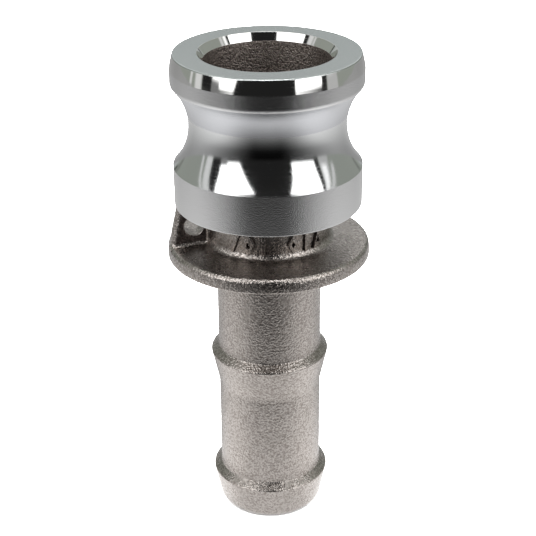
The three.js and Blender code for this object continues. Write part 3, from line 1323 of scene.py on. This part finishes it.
@dataclass
class Studio:
    """The floor, the lights and the camera. Angles are in degrees, lengths in millimetres."""

    bearing: float = 261.1  # of the camera, about +Z from +X
    pitch: float = 25.735  # the camera looks down by this much
    distance: float = 232.23
    aim_height: float = 46.68  # on the axis, where the camera looks
    aim_aside: float = -0.156
    roll: float = -0.501
    lens: float = 88.74
    aim_below: float = 0.053  # how far the view is lowered across its own frame
    sensor: float = 36.0
    nearest: float = 10.0  # that the camera sees
    floor_size: float = 3000.0
    floor_drop: float = 0.02  # below the object's foot
    glow_drop: float = 0.5
    paper: str = "f4f4f4"
    paper_roughness: float = 0.9
    softbox_size: float = 3000.0
    softbox_height: float = 1600.0
    softbox_power: float = 260.0  # watts
    dark: float = 0.018  # of the room where no card stands
    cards: list[Card] = field(default_factory=lambda: list(CARDS))
    glow: FloorGlow = FloorGlow()

    def build(self) -> None:
        """Builds the whole studio."""
        self.world()
        self.floor()
        self.floor_glow()
        self.lamps()
        self.camera()

    def world(self) -> None:
        """Builds the surroundings that the steel mirrors. The camera itself sees plain white."""
        world = bpy.data.worlds.new("studio_room")
        bpy.context.scene.world = world
        world.use_nodes = True
        tree = world.node_tree
        tree.nodes.clear()
        way = add_node(tree, "ShaderNodeTexCoord").outputs["Generated"]
        swing, height = self.seen_from_above(tree, way)
        right = add_node(tree, "ShaderNodeMath", {0: swing}, operation="DEGREES").outputs[0]
        left = add_node(tree, "ShaderNodeMath", {0: right, 1: -1.0}, operation="MULTIPLY").outputs[0]
        both = add_node(tree, "ShaderNodeMath", {0: right}, operation="ABSOLUTE").outputs[0]
        round_by_side = {Side.RIGHT: right, Side.LEFT: left, Side.BOTH: both}
        rise = add_node(tree, "ShaderNodeMath", {0: height}, operation="ARCSINE").outputs[0]
        up = add_node(tree, "ShaderNodeMath", {0: rise}, operation="DEGREES").outputs[0]
        light = add_node(tree, "ShaderNodeRGB").outputs[0]
        light.default_value = (self.dark, self.dark, self.dark, 1.0)
        for card in self.cards:
            cover = self.cover(tree, card, round_by_side[card.side], up)
            colour = [channel * card.strength for channel in linear(card.colour)[:3]] + [1.0]
            light = add_node(
                tree, "ShaderNodeMix", {0: cover, 6: light, 7: colour}, data_type="RGBA"
            ).outputs[2]
        seen = add_node(tree, "ShaderNodeLightPath").outputs["Is Camera Ray"]
        shown = add_node(
            tree, "ShaderNodeMix", {0: seen, 6: light, 7: linear("ffffff")}, data_type="RGBA"
        ).outputs[2]
        background = add_node(tree, "ShaderNodeBackground", {"Color": shown}).outputs[0]
        add_node(tree, "ShaderNodeOutputWorld", {"Surface": background})

    def seen_from_above(self, tree: NodeTree, place: NodeSocket) -> tuple[NodeSocket, NodeSocket]:
        """Builds which way round a direction or a place lies.

        Args:
            tree: The tree.
            place: The direction or the place.

        Returns:
            Radians round to the right from the camera's side, and the height.
        """
        turned = add_node(
            tree,
            "ShaderNodeVectorRotate",
            {"Vector": place, "Angle": math.radians(BEARING_OF_MINUS_Y - self.bearing)},
            rotation_type="Z_AXIS",
        ).outputs["Vector"]
        split = add_node(tree, "ShaderNodeSeparateXYZ", {0: turned}).outputs
        ahead = add_node(tree, "ShaderNodeMath", {0: split["Y"], 1: -1.0}, operation="MULTIPLY")
        swing = add_node(
            tree, "ShaderNodeMath", {0: split["X"], 1: ahead.outputs[0]}, operation="ARCTAN2"
        ).outputs[0]
        return swing, split["Z"]

    def cover(self, tree: NodeTree, card: Card, way_round: NodeSocket, up: NodeSocket) -> NodeSocket:
        """Builds how much of each direction a card covers.

        Args:
            tree: The world's tree.
            card: The card.
            way_round: Degrees round from the camera to the card's side.
            up: Degrees above the horizon.

        Returns:
            A share from 0 to 1.
        """
        edges = [
            (card.inner, card.edge, way_round, 1.0),
            (card.outer, card.edge, way_round, -1.0),
            ((card.low, 0.0, 0.0), card.end, up, 1.0),
            ((card.high, 0.0, 0.0), card.end, up, -1.0),
        ]
        cover: NodeSocket | float = 1.0
        for (place, lean, bend), softness, value, sign in edges:
            slope = add_node(
                tree, "ShaderNodeMath", {0: up, 1: bend, 2: lean}, operation="MULTIPLY_ADD"
            ).outputs[0]
            leaning = add_node(
                tree, "ShaderNodeMath", {0: up, 1: slope, 2: place}, operation="MULTIPLY_ADD"
            ).outputs[0]
            past = add_node(
                tree, "ShaderNodeMath", {0: value, 1: leaning}, operation="SUBTRACT"
            ).outputs[0]
            share = add_node(
                tree,
                "ShaderNodeMapRange",
                {
                    "Value": past,
                    "From Min": -sign * softness / 2,
                    "From Max": sign * softness / 2,
                    "To Min": 0.0,
                    "To Max": 1.0,
                },
                interpolation_type="SMOOTHSTEP",
            ).outputs["Result"]
            cover = add_node(
                tree, "ShaderNodeMath", {0: cover, 1: share}, operation="MULTIPLY"
            ).outputs[0]
        return cover

    def sheet(self, name: str, height: float) -> Object:
        """Adds a large level sheet to the stage.

        Args:
            name: The sheet's name.
            height: How high it lies.

        Returns:
            The sheet.
        """
        half = self.floor_size / 2 * MM
        corners = [(-half, -half), (half, -half), (half, half), (-half, half)]
        mesh = bpy.data.meshes.new(name)
        mesh.from_pydata([(x, y, height * MM) for x, y in corners], [], [(0, 1, 2, 3)])
        sheet = bpy.data.objects.new(name, mesh)
        bpy.context.scene.collection.objects.link(sheet)
        return sheet

    def floor(self) -> None:
        """Lays the plain pale floor."""
        floor = self.sheet("floor", -self.floor_drop)
        floor.visible_glossy = False
        paper = bpy.data.materials.new("white_paper")
        paper.use_nodes = True
        shader = paper.node_tree.nodes["Principled BSDF"]
        shader.inputs["Base Color"].default_value = linear(self.paper)
        shader.inputs["Roughness"].default_value = self.paper_roughness
        floor.data.materials.append(paper)

    def floor_glow(self) -> None:
        """Lays the sheet that stands for the floor in the steel's reflections."""
        sheet = self.sheet("floor_glow", -self.glow_drop)
        sheet.visible_camera = False
        sheet.visible_diffuse = False
        sheet.visible_transmission = False
        sheet.visible_shadow = False
        material = bpy.data.materials.new("lit_paper")
        material.use_nodes = True
        tree = material.node_tree
        tree.nodes.clear()
        place = add_node(tree, "ShaderNodeTexCoord").outputs["Object"]
        level = add_node(
            tree, "ShaderNodeVectorMath", {0: place, 1: LEVEL}, operation="MULTIPLY"
        ).outputs[0]
        reach = add_node(tree, "ShaderNodeVectorMath", {0: level}, operation="LENGTH").outputs["Value"]
        swing = self.seen_from_above(tree, place)[0]
        turn = add_node(tree, "ShaderNodeMath", {0: swing}, operation="ABSOLUTE").outputs[0]
        strength = self.glow.strength(tree, reach, turn)
        shader = add_node(tree, "ShaderNodeEmission", {"Strength": strength}).outputs[0]
        add_node(tree, "ShaderNodeOutputMaterial", {"Surface": shader})
        sheet.data.materials.append(material)

    def lamps(self) -> None:
        """Hangs the soft light that whitens the floor. Steel doesn't mirror it."""
        light = bpy.data.lights.new("floor_softbox", "AREA")
        light.shape = "DISK"
        light.size = self.softbox_size * MM
        light.energy = self.softbox_power
        lamp = bpy.data.objects.new("floor_softbox", light)
        lamp.location = (0.0, 0.0, self.softbox_height * MM)
        lamp.visible_glossy = False
        lamp.visible_camera = False
        bpy.context.scene.collection.objects.link(lamp)

    def camera(self) -> None:
        """Sets up the camera."""
        turn = Matrix.Rotation(math.radians(self.bearing + 90), 4, "Z")
        tilt = Matrix.Rotation(math.radians(90 - self.pitch), 4, "X")
        roll = Matrix.Rotation(math.radians(self.roll), 4, "Z")
        aim = Matrix.Translation((0.0, 0.0, self.aim_height * MM))
        away = Matrix.Translation((self.aim_aside * MM, self.aim_below * MM, self.distance * MM))
        data = bpy.data.cameras.new("camera")
        data.sensor_width = self.sensor
        data.lens = self.lens
        data.clip_start = self.nearest * MM
        camera = bpy.data.objects.new("camera", data)
        camera.matrix_world = aim @ turn @ tilt @ away @ roll
        bpy.context.scene.collection.objects.link(camera)
        bpy.context.scene.camera = camera
        bpy.context.scene.view_settings.view_transform = "Standard"


# ---------------------------------------------------------------------------- the whole scene


def main() -> None:
    """Builds every piece around the frame, then the studio."""
    logging.basicConfig(level=logging.INFO, format="%(name)s: %(message)s")
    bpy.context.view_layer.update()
    bench = Bench()
    CamGrooveHead(bench).build()
    CastNeck(bench).build()
    FoundryMarks(bench).build()
    TetherLug(bench).build()
    HoseStopCollar(bench).build()
    HoseShank(bench).build()
    Studio().build()


if __name__ == "__main__":
    main()
